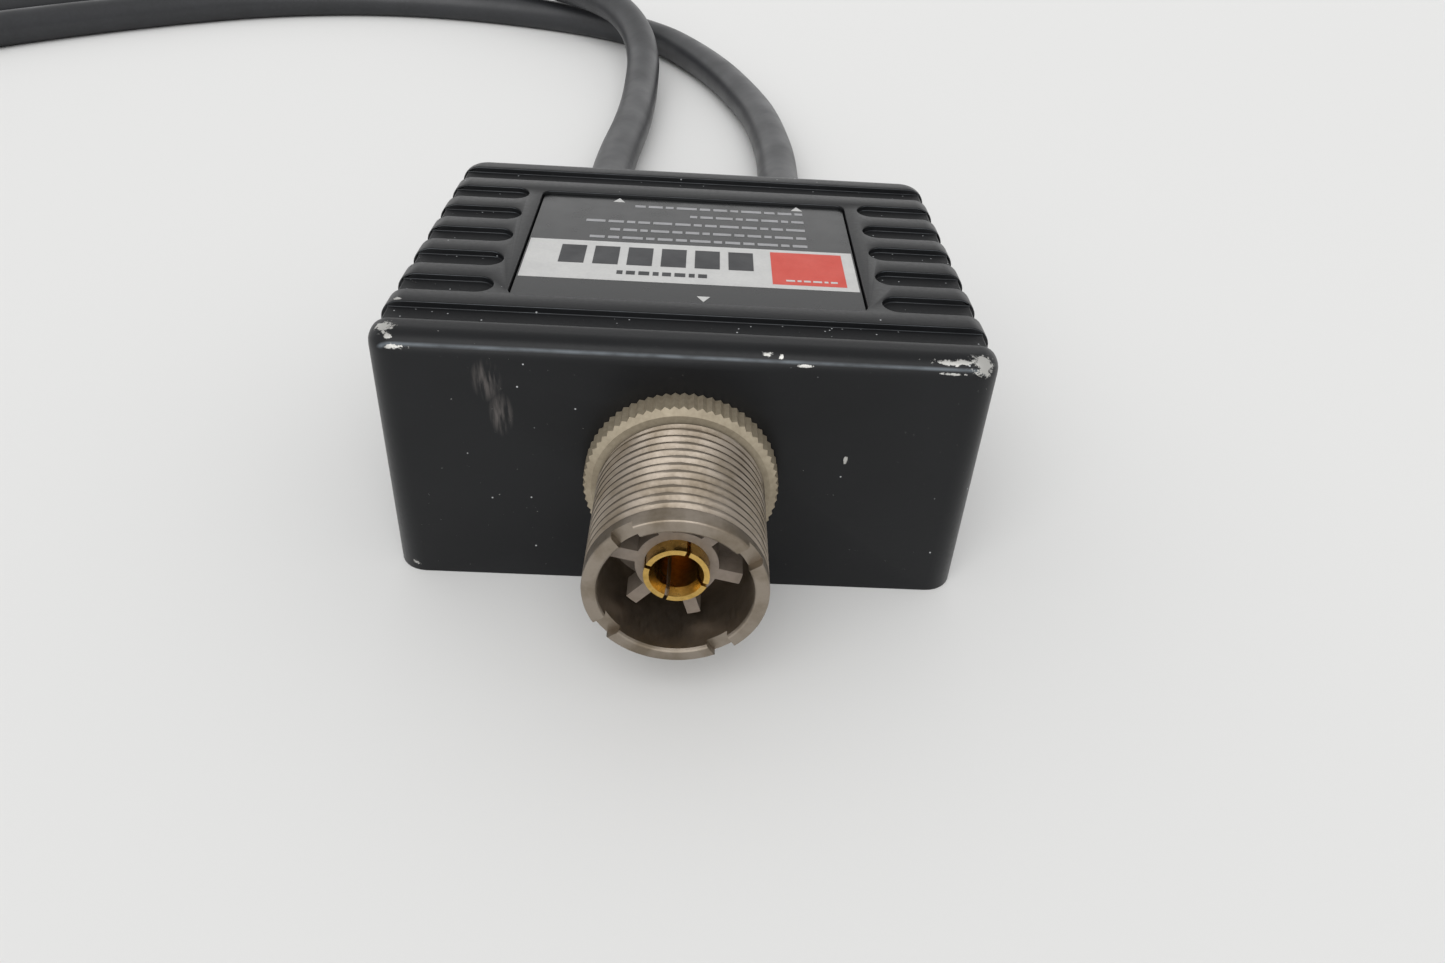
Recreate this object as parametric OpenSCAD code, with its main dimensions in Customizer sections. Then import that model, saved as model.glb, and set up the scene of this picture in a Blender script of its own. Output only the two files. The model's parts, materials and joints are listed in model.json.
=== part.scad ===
// Two-band antenna duplexer, in millimetres.
// A ribbed die-cast box carries one screw-on socket at its front and two coaxial
// pigtails at its back, and each pigtail ends in a matching screw-on plug.
// The origin is the centre of the box's footprint, on the surface it stands on.
// -Y is the socket side, +Y is the cable side and +Z is up.

/* [Housing] */
// Width of the housing, side to side
housing_w = 58; // [56:0.5:66]
// Depth of the housing, socket face to cable face
housing_d = 45.6; // [44.6:0.5:54.1]
// Height of the housing with its cover
housing_h = 27.5; // [27:0.5:34]
// Thickness of the side walls
wall_t = 2.8; // [2.4:0.1:3.2]
// Thickness of the roof between the grooves
roof_t = 3.6; // [3:0.1:4.2]
// Radius of the four upright edges
side_edge_r = 3; // [2.6:0.1:4]
// Radius of the edge round the roof
top_edge_r = 2; // [1:0.1:2.4]
// How much further in each side wall stands at the rear than at the front
side_draft = 0.9; // [0:0.1:1]

/* [Cooling grooves] */
// Number of grooves across the roof
groove_count = 7; // [5:2:7]
// Distance from one groove to the next
groove_pitch = 5.9; // [5.2:0.1:6.1]
// Width of a groove
groove_w = 3.3; // [2.4:0.1:3.6]
// Depth of a groove in the roof
groove_t = 0.65; // [0.4:0.05:1.4]
// Depth of a groove in the side walls
side_groove_t = 0.8; // [0.4:0.05:1.2]
// Height at which the side grooves end above the surface
side_groove_end = 5; // [4:0.5:9]
// Distance from the label plate to the round ends of the short grooves
groove_label_gap = 1.8; // [1:0.1:3]

/* [Label plate] */
// Width of the label plate
label_w = 34.3; // [30:0.1:36]
// Depth of the label plate, front to back
label_d = 26; // [22:0.1:28]
// Thickness of the label plate
label_t = 0.5; // [0.3:0.05:0.8]
// Gap round the label plate in its recess
label_gap = 0.3; // [0.2:0.05:0.6]
// Depth of the plate's face below the roof
label_sink = 0.4; // [0:0.05:0.5]
// Distance of the label plate's middle behind the middle of the roof
label_y = -0.3; // [-1:0.1:1]
// Radius of the label plate's corners
label_corner_r = 0.8; // [0.4:0.1:2]

/* [Bottom cover] */
// Thickness of the bottom cover
cover_t = 1.6; // [1.2:0.1:2.4]
// Width of the step in the walls that the cover sits in
cover_step = 1.4; // [1:0.1:1.6]
// Gap round the cover in its step
cover_gap = 0.15; // [0.1:0.05:0.3]
// Radius of the corner posts that take the cover screws
post_r = 3.4; // [3:0.1:4]
// Radius of a cover screw's shank
screw_r = 1.25; // [1:0.05:1.5]
// Radius of a cover screw's head
screw_head_r = 2.5; // [2.2:0.1:2.8]
// Height of a cover screw's tapered head
screw_head_t = 1.3; // [1:0.1:1.5]
// Length of a cover screw under its head
screw_l = 7; // [5:0.5:9]

/* [Socket] */
// Height of the socket's axis above the middle of the housing
port_rise = 0; // [-0.5:0.25:1]
// Outer radius of the socket's barrel, over the thread
barrel_r = 7.9375; // [7:0.05:9]
// Distance from the housing's face to the barrel's rim
barrel_l = 17.05; // [15:0.05:20]
// Inner radius of the barrel
barrel_bore_r = 6.6; // [6:0.05:6.7]
// Radius of the neck inside the knurled ring
neck_r = 7.2; // [6.9:0.05:7.4]
// Radius of the barrel's tail that passes the wall, the lug and the nut
tail_r = 5.9; // [5.8:0.05:6.2]
// Number of notches in the barrel's rim
notch_count = 4; // [3:1:6]
// Width of a rim notch
notch_w = 2.1; // [1.4:0.1:3]
// Depth of a rim notch
notch_l = 0.8; // [0.5:0.1:1.6]
// Turn of the first notch, seen from the front
notch_turn = 35; // [0:1:90]
// Radius of the knurled ring, over its teeth
ring_r = 9.27; // [8.8:0.05:10]
// Thickness of the knurled ring
ring_t = 2.72; // [2:0.1:4]
// Number of teeth on the knurled ring
ring_teeth = 68; // [40:1:72]
// Height of a tooth
tooth_h = 0.26; // [0.2:0.02:0.4]
// Gap between the ring and the start of the thread
thread_relief = 0.25; // [0.15:0.05:0.6]
// Distance across the flats of the nut inside
nut_flats = 15; // [14:0.5:16]
// Thickness of the nut inside
nut_t = 2.5; // [2:0.1:3]
// Thickness of the solder lug under the nut
lug_t = 0.5; // [0.3:0.05:0.8]

/* [Socket centre] */
// Outer radius of the centre contact
contact_r = 2.865; // [2.6:0.05:3.1]
// Bore radius of the centre contact
contact_bore_r = 2; // [1.8:0.05:2.2]
// Depth of the centre contact's bore
contact_bore_l = 10; // [7:0.5:12]
// Radius of the contact's flared mouth at its end
contact_mouth_r = 2.38; // [2.25:0.01:2.5]
// Depth of the contact's flared mouth
contact_mouth_l = 0.8; // [0.3:0.1:1.2]
// Distance from the barrel's rim back to the contact's end
contact_sink = 2.32; // [1:0.02:3]
// Width of the slots in the contact
slot_w = 0.35; // [0.25:0.05:0.6]
// Length of the slots in the contact
slot_l = 5.5; // [4:0.5:7]
// Turn of the first contact slot, seen from the front
slot_turn = 70; // [0:1:90]
// Outer radius of the insulator's hub
hub_r = 3.65; // [3.4:0.05:4]
// Number of spokes on the insulator
spoke_count = 6; // [3:1:6]
// Width of a spoke
spoke_w = 1.2; // [0.8:0.1:1.6]
// Distance from the socket's axis to the end of a spoke
spoke_r = 5.8; // [5:0.05:5.9]
// Turn of the first spoke, seen from the front
spoke_turn = 47; // [0:1:60]
// Distance from the barrel's rim back to the spokes
spoke_sink = 3.75; // [3:0.05:5]
// Length of the spokes along the socket
spoke_l = 2.4; // [1.5:0.1:4]
// Depth of the pockets between the hub and the barrel
pocket_l = 5; // [4.5:0.1:6]
// Thickness of the insulator's closed rear disc
insulator_disc_t = 2; // [1:0.1:3]

/* [Cables] */
// Radius of the cable jacket
cable_r = 3.75; // [2.5:0.05:3.75]
// Distance of each cable exit from the outside of its side wall, at the front
exit_inset = 15; // [14.5:0.5:16]
// Height of the cable exits above the middle of the housing
exit_rise = 0; // [-0.5:0.25:1]
// Distance that a grommet stands out of the rear wall
grommet_l = 8.2; // [7.7:0.5:9.2]
// Radius of a grommet's flange
grommet_r = 6.2; // [5.8:0.1:6.4]
// Radius of a grommet's neck in the wall
grommet_neck_r = 5; // [4.6:0.1:5.2]

/* [Plugs] */
// Radius of a plug's coupling ring
coupling_r = 9.1; // [8.8:0.05:9.1]
// Length of a plug's coupling ring
coupling_l = 18.5; // [16:0.5:19]
// Running clearance between a coupling ring and its body
coupling_gap = 0.05; // [0.02:0.01:0.08]
// Clearance of the coupling thread over the socket's barrel
thread_gap = 0.05; // [0.02:0.01:0.1]
// Number of flutes round a coupling ring
flute_count = 36; // [20:1:44]
// Radius of a plug's neck under the coupling ring
plug_neck_r = 6.3; // [6:0.05:6.6]
// Radius of a plug's rear collar
plug_collar_r = 7.4; // [7:0.1:8]
// Radius of a plug's crimped sleeve
plug_sleeve_r = 5.4; // [5:0.1:6]
// Radius of a plug's centre pin
plug_pin_r = 2; // [1.7:0.05:2.1]
// Radius of the centre pin's shank in its insulator
pin_shank_r = 1.6; // [1.2:0.05:1.6]
// Distance from a plug's rear end to the tip of its pin
plug_l = 37.5; // [36:0.5:39]

/* [Hidden] */
$fn = 48;
eps = 0.01;
cut = 1;

paint = [0.16, 0.16, 0.17];
label_grey = [0.3, 0.3, 0.31];
nickel = [0.68, 0.64, 0.6];
gold = [0.8, 0.6, 0.28];
grey_plastic = [0.5, 0.47, 0.44];
rubber = [0.12, 0.12, 0.13];
copper = [0.72, 0.42, 0.24];
board_green = [0.2, 0.36, 0.24];
ceramic = [0.75, 0.55, 0.3];

// Heights inside the housing
roof_z = housing_h - roof_t;
inner_w = housing_w - 2 * wall_t;
inner_d = housing_d - 2 * wall_t;
inner_corner_r = 1;
face_y = -housing_d / 2;
rear_y = housing_d / 2;
port_z = housing_h / 2 + port_rise;
exit_z = housing_h / 2 + exit_rise;
exit_x = housing_w / 2 - exit_inset;

// The short grooves end this far from the middle
groove_end_x = label_w / 2 + groove_label_gap;

// Corner posts stand in the inner corners, half sunk in both walls
post_x = inner_w / 2 - post_r * 0.7;
post_y = inner_d / 2 - post_r * 0.7;
screw_hole_gap = 0.05;

// The filter board is held between posts on the cover and posts on the roof
board_w = 36;
board_d = 15;
board_t = 1.6;
board_z = 8;
board_y = -1;
board_top = board_z + board_t;
board_post_r = 1.4;
board_post_x = board_w / 2 - board_post_r - 0.4;

// The parts on the board stand in two rows, in from its ends by the same distance
row_y = 4.2;
part_inset = 5;
coil_r = 2.2;
coil_wire_r = 0.5;
coil_pitch = 0.9;
low_turns = 5;
high_turns = 4;
disc_r = 2;
disc_t = 2;
disc_x = board_w / 2 - part_inset - coil_length(low_turns) - disc_r - 0.4;

function coil_length(turns) = (turns - 1) * coil_pitch + 2 * coil_wire_r;

// The socket's parts, measured forward from the housing's face
neck_back = wall_t + lug_t + nut_t + 0.8;
thread_start = ring_t + thread_relief;
thread_end = barrel_l - 0.25;
thread_lead = 0.15;
rim_chamfer = 0.25;
ring_bevel = 0.8;
ring_bevel_l = 0.4;
seat_s = barrel_l - spoke_sink - pocket_l - insulator_disc_t;
rear_bore_r = 5.05;
contact_tip = barrel_l - contact_sink;
contact_back = neck_back + 1.5;
solder_r = 1.2;
solder_l = 2.5;
lug_r = nut_flats / 2 - 0.2;
lug_tab_l = 4;
lug_tab_w = 3;

// The cables inside the housing are stripped in steps
stub_end_y = rear_y - wall_t - 9;
braid_r = cable_r * 0.78;
core_r = cable_r * 0.62;
wire_r = 0.7;
strip_l = 1.6;
clamp_w = 10.4;
clamp_d = 4;
clamp_wall = 1.2;

// The plugs' parts, measured forward from the plug's rear end
sleeve_end = 8;
collar_end = 12;
flange_start = 22;
flange_end = 24;
front_sleeve_end = 30;
front_sleeve_r = barrel_bore_r - 0.25;
flange_r = barrel_r - 0.75;
plug_bore_r = front_sleeve_r - 1;
plug_bore_start = 13;
insulator_start = 19;
insulator_end = 25;
pin_start = 15;
ring_float = 0.3;
coupling_lip = 3.2;
coupling_start = flange_start - ring_float - coupling_lip;
coupling_bore_r = barrel_r + thread_gap;
flute_t = 0.35;

// The route of each cable, from its exit round to its plug, lies flat on the surface
// apart from the two falls from the exits, the place where one cable crosses over
// the other, and the rise of each end to its plug.
lie_z = cable_r;
tail_y = rear_y + grommet_l;
high_route = [
    [exit_x, tail_y, exit_z], [exit_x, tail_y + 12, exit_z - 1.25], [14.5, 56, 9], [15, 69, 5.2], [15, 82, 3.8],
    [15, 96, 3.75], [14, 110, 3.75], [12, 124, 3.75], [8.5, 138, 3.75], [4, 152, 3.75],
    [-2, 166, 3.75], [-9.5, 179, 3.75], [-20.5, 190, 3.75], [-34, 197.5, 3.75],
    [-49, 202.5, 3.75], [-64, 205.5, 3.75], [-79, 206.5, 3.75], [-94, 205, 3.75],
    [-108, 201, 3.75], [-121, 195, 3.75], [-133.5, 186.5, 3.75], [-145, 177, 3.75],
    [-156, 166.5, 3.75], [-166, 155.5, 3.75], [-174.5, 143.5, 3.75],
    [-181.5, 130.5, 3.75], [-186.5, 117, 3.9], [-189, 103, 5.6], [-190, 89, 8.2],
    [-190, 76, 9.1]
];
low_route = [
    [-exit_x, tail_y, exit_z], [-exit_x, tail_y + 12, exit_z - 1.25], [-14.5, 56, 9], [-15, 69, 5.2], [-15.5, 82, 3.8],
    [-15, 96, 3.75], [-14, 110, 3.75], [-13.5, 124, 3.8], [-13.5, 138, 4.7],
    [-14, 152, 6.6], [-16.5, 166, 9], [-22, 179, 11], [-31, 190.5, 11.7],
    [-42.5, 200.5, 11.8], [-55.5, 209, 10.8], [-69, 215, 8.3], [-83.5, 218.5, 5.4],
    [-98.5, 219.5, 3.9], [-113, 217.5, 3.75], [-127, 212.5, 3.75], [-140, 205, 3.75],
    [-152.5, 195.5, 3.75], [-164, 185, 3.75], [-175, 173.5, 3.75], [-185.5, 161.5, 3.75],
    [-195, 149, 3.75], [-203.5, 136, 3.75], [-211, 122.5, 3.9], [-217, 108.5, 5.6],
    [-220.5, 94, 8.2], [-222, 80, 9.1]
];
cable_sides = 12;
high_plug_at = high_route[len(high_route) - 1];
low_plug_at = low_route[len(low_route) - 1];

// Direction of a route at one of its points, with both ends square to the housing
function unit(v) = v / norm(v);
function route_dir(route, i) =
    i == 0 ? [0, 1, 0] :
    i == len(route) - 1 ? [0, -1, 0] :
    unit(unit(route[i + 1] - route[i]) + unit(route[i] - route[i - 1]));

// One ring of points round a route
function route_ring(route, i, r, sides) =
    let (along = route_dir(route, i))
    let (side = unit(cross(along, [0, 0, 1])))
    let (up = cross(side, along))
    [for (k = [0:sides - 1]) let (a = k * 360 / sides) route[i] + r * (cos(a) * side + sin(a) * up)];

// A round cable as one closed solid along a route
module swept_cable(route, r, sides) {
    rings = len(route);
    points = [for (i = [0:rings - 1]) each route_ring(route, i, r, sides)];
    near_cap = [[for (k = [sides - 1:-1:0]) k]];
    far_cap = [[for (k = [0:sides - 1]) (rings - 1) * sides + k]];
    skin = [
        for (i = [0:rings - 2], k = [0:sides - 1])
            let (a = i * sides + k, b = i * sides + (k + 1) % sides)
            each [[a, b, b + sides], [a, b + sides, a + sides]]
    ];
    polyhedron(points = points, faces = concat(near_cap, skin, far_cap), convexity = 10);
}

// Children drawn along +Z run forward out of the housing's face, on the socket's axis
module along_port() {
    translate([0, face_y, port_z]) rotate([90, 0, 0]) children();
}

// Children drawn along +Z run backward out of the rear wall, on a cable exit's axis
module along_exit(side) {
    translate([side * exit_x, rear_y, exit_z]) rotate([-90, 0, 0]) children();
}

// Children drawn along +Z run forward from the rear end of a plug
module along_plug(at) {
    translate(at) rotate([90, 0, 0]) children();
}

module tube(r, bore, from, to) {
    translate([0, 0, from]) difference() {
        cylinder(r = r, h = to - from);
        translate([0, 0, -cut]) cylinder(r = bore, h = to - from + 2 * cut);
    }
}

module rounded_rect(w, d, r) {
    union() {
        square([w - 2 * r, d], center = true);
        square([w, d - 2 * r], center = true);
        for (x = [-1, 1], y = [-1, 1]) translate([x * (w / 2 - r), y * (d / 2 - r)]) circle(r);
    }
}

// Centres of the four corner arcs of a plan that is narrower at the rear, clockwise from above
function corner_spots(w, d, r) = [
    [-(w / 2 - r), -(d / 2 - r)], [-(w / 2 - r - side_draft), d / 2 - r],
    [w / 2 - r - side_draft, d / 2 - r], [w / 2 - r, -(d / 2 - r)]
];

// A step of r from a point, square to the line from one point to the next and away from the middle
function outward(from, to, r) = let (along = (to - from) / norm(to - from)) r * [-along[1], along[0]];

// Distance of a side wall's outside from the middle, at some depth
function side_x(y) = housing_w / 2 - side_draft * (y - face_y) / housing_d;

module drafted_rect(w, d, r) {
    spots = corner_spots(w, d, r);
    union() {
        polygon([
            for (i = [0:3]) let (a = spots[i], b = spots[(i + 1) % 4])
                each [a + outward(a, b, r), b + outward(a, b, r)]
        ]);
        for (spot = spots) translate(spot) circle(r);
    }
}

// The block is drawn round four corner posts, each with a rounded upper edge
module housing_block() {
    hull() for (spot = corner_spots(housing_w, housing_d, side_edge_r)) translate(spot)
        rotate_extrude($fn = 32) intersection() {
            union() {
                square([side_edge_r, housing_h - top_edge_r]);
                square([side_edge_r - top_edge_r, housing_h]);
                translate([side_edge_r - top_edge_r, housing_h - top_edge_r]) circle(top_edge_r, $fn = 32);
            }
            square([side_edge_r + cut, housing_h + cut]);
        }
}

// One groove in the roof that runs from inner_x out over the edge and down a side wall
// whose outside stands at wall_x
module groove_cut(inner_x, wall_x) {
    union() {
        translate([inner_x, -groove_w / 2, housing_h - groove_t])
            cube([housing_w / 2 + cut - inner_x, groove_w, groove_t + cut]);
        translate([inner_x, 0, housing_h - groove_t]) cylinder(d = groove_w, h = groove_t + cut);
        translate([wall_x - side_groove_t, -groove_w / 2, side_groove_end + groove_w / 2])
            cube([side_groove_t + 2 * cut, groove_w, housing_h - side_groove_end]);
        translate([wall_x - side_groove_t, 0, side_groove_end + groove_w / 2]) rotate([0, 90, 0])
            cylinder(d = groove_w, h = side_groove_t + 2 * cut);
    }
}

module all_grooves() {
    last = (groove_count - 1) / 2;
    for (i = [-last:last], side = [0, 1]) translate([0, i * groove_pitch, 0]) mirror([side, 0, 0])
        groove_cut(abs(i) == last ? 0 : groove_end_x + groove_w / 2, side_x(i * groove_pitch));
}

module at_posts() {
    for (x = [-1, 1], y = [-1, 1]) translate([x * post_x, y * post_y, 0]) children();
}

module housing() {
    color(paint) difference() {
        union() {
            difference() {
                housing_block();
                translate([0, 0, -cut]) linear_extrude(roof_z + cut)
                    drafted_rect(inner_w, inner_d, inner_corner_r);
            }
            intersection() {
                translate([0, 0, cover_t]) at_posts() cylinder(r = post_r, h = roof_z - cover_t + eps);
                housing_block();
            }
            for (x = [-1, 1]) translate([x * board_post_x, board_y, board_top])
                cylinder(r = board_post_r, h = roof_z - board_top + eps);
        }
        translate([0, 0, -cut]) linear_extrude(cover_t + cut)
            drafted_rect(inner_w + 2 * cover_step, inner_d + 2 * cover_step, inner_corner_r + cover_step);
        translate([0, label_y, housing_h - label_t - label_sink]) linear_extrude(label_t + label_sink + cut)
            rounded_rect(label_w + 2 * label_gap, label_d + 2 * label_gap, label_corner_r + label_gap);
        all_grooves();
        at_posts() translate([0, 0, cover_t - cut]) cylinder(r = screw_r + screw_hole_gap, h = screw_l + cut);
        along_port() translate([0, 0, -wall_t - cut]) cylinder(r = tail_r + screw_hole_gap, h = wall_t + 2 * cut);
        for (side = [-1, 1]) along_exit(side) translate([0, 0, -wall_t - cut])
            cylinder(r = grommet_neck_r, h = wall_t + 2 * cut);
    }
}

module label_plate() {
    color(label_grey) translate([0, label_y, housing_h - label_t - label_sink]) linear_extrude(label_t)
        rounded_rect(label_w, label_d, label_corner_r);
}

module bottom_cover() {
    grow = 2 * (cover_step - cover_gap);
    color(nickel) difference() {
        union() {
            linear_extrude(cover_t)
                drafted_rect(inner_w + grow, inner_d + grow, inner_corner_r + cover_step - cover_gap);
            for (x = [-1, 1]) translate([x * board_post_x, board_y, 0]) cylinder(r = board_post_r, h = board_z);
        }
        at_posts() {
            translate([0, 0, -cut]) cylinder(r = screw_r + 4 * screw_hole_gap, h = cover_t + 2 * cut);
            cylinder(r1 = screw_head_r + screw_hole_gap, r2 = screw_r + screw_hole_gap, h = screw_head_t);
            translate([0, 0, -cut]) cylinder(r = screw_head_r + screw_hole_gap, h = cut);
        }
    }
}

// A countersunk screw with a cross recess, its head in the cover and its shank in a post
module cover_screw(x, y) {
    recess_w = screw_head_r * 0.28;
    recess_l = screw_head_r * 1.1;
    color(nickel) translate([x * post_x, y * post_y, 0]) difference() {
        union() {
            cylinder(r1 = screw_head_r, r2 = screw_r, h = screw_head_t);
            cylinder(r = screw_r, h = screw_head_t + screw_l - 1.5);
        }
        for (turn = [0, 90]) rotate([0, 0, turn])
            translate([-recess_l / 2, -recess_w / 2, -cut]) cube([recess_l, recess_w, cut + screw_head_t * 0.6]);
    }
}

module port_shell() {
    color(nickel) along_port() difference() {
        rotate_extrude() polygon([
            [rear_bore_r, -neck_back], [tail_r, -neck_back], [tail_r, 0], [neck_r, 0],
            [neck_r, thread_start], [barrel_r - thread_lead, thread_start],
            [barrel_r, thread_start + thread_lead], [barrel_r, thread_end],
            [barrel_r - rim_chamfer, barrel_l], [barrel_bore_r, barrel_l],
            [barrel_bore_r, seat_s], [rear_bore_r, seat_s]
        ]);
        for (i = [0:notch_count - 1]) rotate([0, 0, notch_turn + i * 360 / notch_count])
            translate([barrel_bore_r - cut, -notch_w / 2, barrel_l - notch_l]) cube([barrel_r, notch_w, notch_l + cut]);
    }
}

// Straight-knurled ring: pointed teeth round the outside, with a bevel at the front
module port_ring() {
    root_r = ring_r - tooth_h;
    teeth = [
        for (i = [0:2 * ring_teeth - 1])
            let (a = i * 180 / ring_teeth, r = i % 2 == 0 ? ring_r : root_r) r * [cos(a), sin(a)]
    ];
    color(nickel) along_port() difference() {
        intersection() {
            linear_extrude(ring_t) polygon(teeth);
            rotate_extrude() polygon([
                [0, 0], [ring_r + ring_bevel, 0], [ring_r + ring_bevel, ring_t - 2 * ring_bevel_l],
                [ring_r - ring_bevel, ring_t], [0, ring_t]
            ]);
        }
        translate([0, 0, -cut]) cylinder(r = neck_r, h = ring_t + 2 * cut);
    }
}

module port_nut() {
    color(nickel) along_port() translate([0, 0, -wall_t - lug_t - nut_t]) difference() {
        cylinder(r = nut_flats / 2 / cos(30), h = nut_t, $fn = 6);
        translate([0, 0, -cut]) cylinder(r = tail_r, h = nut_t + 2 * cut);
    }
}

module port_lug() {
    color(nickel) along_port() translate([0, 0, -wall_t - lug_t]) difference() {
        union() {
            cylinder(r = lug_r, h = lug_t);
            translate([-lug_tab_w / 2, -lug_r - 0.5, 0]) cube([lug_tab_w, lug_tab_l, lug_t]);
        }
        translate([0, 0, -cut]) cylinder(r = tail_r, h = lug_t + 2 * cut);
    }
}

// The insulator is mostly air: a hub with short spokes stands on a thin closed disc
module port_insulator() {
    color(grey_plastic) along_port() translate([0, 0, seat_s]) difference() {
        union() {
            cylinder(r = barrel_bore_r, h = insulator_disc_t);
            cylinder(r = hub_r, h = insulator_disc_t + pocket_l);
            intersection() {
                cylinder(r = spoke_r, h = insulator_disc_t + pocket_l);
                for (i = [0:spoke_count - 1]) rotate([0, 0, spoke_turn - i * 360 / spoke_count])
                    translate([0, -spoke_w / 2, insulator_disc_t + pocket_l - spoke_l])
                        cube([barrel_r, spoke_w, spoke_l]);
            }
        }
        translate([0, 0, -cut]) cylinder(r = contact_r, h = insulator_disc_t + pocket_l + 2 * cut);
    }
}

module port_contact() {
    color(gold) along_port() difference() {
        union() {
            translate([0, 0, -contact_back]) cylinder(r = contact_r, h = contact_tip + contact_back);
            translate([0, 0, -contact_back - solder_l]) cylinder(r = solder_r, h = solder_l + eps);
        }
        translate([0, 0, contact_tip - contact_bore_l]) cylinder(r = contact_bore_r, h = contact_bore_l + cut);
        translate([0, 0, contact_tip - contact_mouth_l])
            cylinder(r1 = contact_bore_r, r2 = contact_mouth_r, h = contact_mouth_l);
        translate([0, 0, contact_tip]) cylinder(r = contact_mouth_r, h = cut);
        for (turn = [slot_turn, slot_turn + 90]) rotate([0, 0, turn])
            translate([-contact_r - cut, -slot_w / 2, contact_tip - slot_l])
                cube([2 * (contact_r + cut), slot_w, slot_l + cut]);
    }
}

// A bent strip from the contact's solder post down to the board
module feed_strap() {
    strap_w = 3;
    strap_t = 0.5;
    front_y = face_y + contact_back + solder_l;
    foot_y = board_y - board_d / 2 + 1.5;
    color(copper) union() {
        translate([-strap_w / 2, front_y, board_top]) cube([strap_w, strap_t, port_z + solder_r - board_top]);
        translate([-strap_w / 2, front_y, board_top]) cube([strap_w, foot_y - front_y, strap_t]);
    }
}

module filter_board() {
    color(board_green) translate([-board_w / 2, board_y - board_d / 2, board_z])
        cube([board_w, board_d, board_t]);
}

// A close-wound coil lying on the board, its turns drawn as a row of touching rings,
// with its outer end at the parts' distance from the board's end on one side
module coil(turns, side, y) {
    start = side * (board_w / 2 - part_inset - coil_length(turns) / 2) - coil_length(turns) / 2 + coil_wire_r;
    translate([start, board_y + y, board_top + coil_r + coil_wire_r]) rotate([0, 90, 0]) rotate_extrude()
        for (i = [0:turns - 1]) translate([coil_r, i * coil_pitch]) circle(coil_wire_r, $fn = 24);
}

module lowpass_coils() {
    color(copper) for (y = [-row_y, row_y]) coil(low_turns, -1, y);
}

module highpass_coils() {
    color(copper) for (y = [-row_y, row_y]) coil(high_turns, 1, y);
}

module disc_capacitor(x, y) {
    translate([x, board_y + y - disc_t / 2, board_top + disc_r]) rotate([-90, 0, 0])
        cylinder(r = disc_r, h = disc_t);
}

module lowpass_capacitors() {
    color(ceramic) for (y = [-row_y, row_y]) disc_capacitor(-disc_x, y);
}

module highpass_capacitors() {
    color(ceramic) for (y = [-row_y, row_y]) disc_capacitor(disc_x, y);
}

// The end of a cable, held in its grommet and stripped in steps inside the housing
module cable_entry(side) {
    inside = rear_y - stub_end_y;
    color(rubber) along_exit(side) union() {
        translate([0, 0, -inside]) cylinder(r = cable_r, h = inside + grommet_l);
        translate([0, 0, -inside - strip_l]) cylinder(r = braid_r, h = strip_l + eps);
        translate([0, 0, -inside - 2 * strip_l]) cylinder(r = core_r, h = strip_l + eps);
        translate([0, 0, -inside - 3 * strip_l]) cylinder(r = wire_r, h = strip_l + eps);
    }
}

// A block under the roof that grips the end of a cable
module cable_clamp(side) {
    bottom = exit_z - cable_r - clamp_wall;
    color(nickel) difference() {
        translate([side * exit_x - clamp_w / 2, stub_end_y + 1, bottom]) cube([clamp_w, clamp_d, roof_z - bottom]);
        along_exit(side) translate([0, 0, -inner_d]) cylinder(r = cable_r, h = inner_d);
    }
}

module grommet(side) {
    inner_flange = 1.5;
    outer_flange = 1.8;
    tip_r = cable_r + 1;
    color(rubber) along_exit(side) rotate_extrude() polygon([
        [cable_r, -wall_t - inner_flange], [grommet_r, -wall_t - inner_flange], [grommet_r, -wall_t],
        [grommet_neck_r, -wall_t], [grommet_neck_r, 0], [grommet_r, 0], [grommet_r, outer_flange],
        [grommet_neck_r + 0.5, outer_flange], [tip_r, grommet_l], [cable_r, grommet_l]
    ]);
}

module low_cable() {
    color(rubber) swept_cable(low_route, cable_r, cable_sides);
}

module high_cable() {
    color(rubber) swept_cable(high_route, cable_r, cable_sides);
}

module plug_body(at) {
    color(nickel) along_plug(at) rotate_extrude() polygon([
        [0, 0], [plug_sleeve_r, 0], [plug_sleeve_r, sleeve_end], [plug_collar_r - 0.5, sleeve_end],
        [plug_collar_r, sleeve_end + 0.5], [plug_collar_r, collar_end - 0.5], [plug_collar_r - 0.5, collar_end],
        [plug_neck_r, collar_end], [plug_neck_r, flange_start], [flange_r, flange_start],
        [flange_r, flange_end], [front_sleeve_r, flange_end], [front_sleeve_r, front_sleeve_end],
        [plug_bore_r, front_sleeve_end], [plug_bore_r, plug_bore_start], [0, plug_bore_start]
    ]);
}

module plug_insulator(at) {
    color(grey_plastic) along_plug(at) tube(plug_bore_r, pin_shank_r, insulator_start, insulator_end);
}

module plug_pin(at) {
    tip = plug_pin_r * 0.6;
    color(nickel) along_plug(at) rotate_extrude() polygon([
        [0, pin_start], [pin_shank_r, pin_start], [pin_shank_r, insulator_end], [plug_pin_r, insulator_end],
        [plug_pin_r, plug_l - tip], [plug_pin_r - tip, plug_l], [0, plug_l]
    ]);
}

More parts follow.
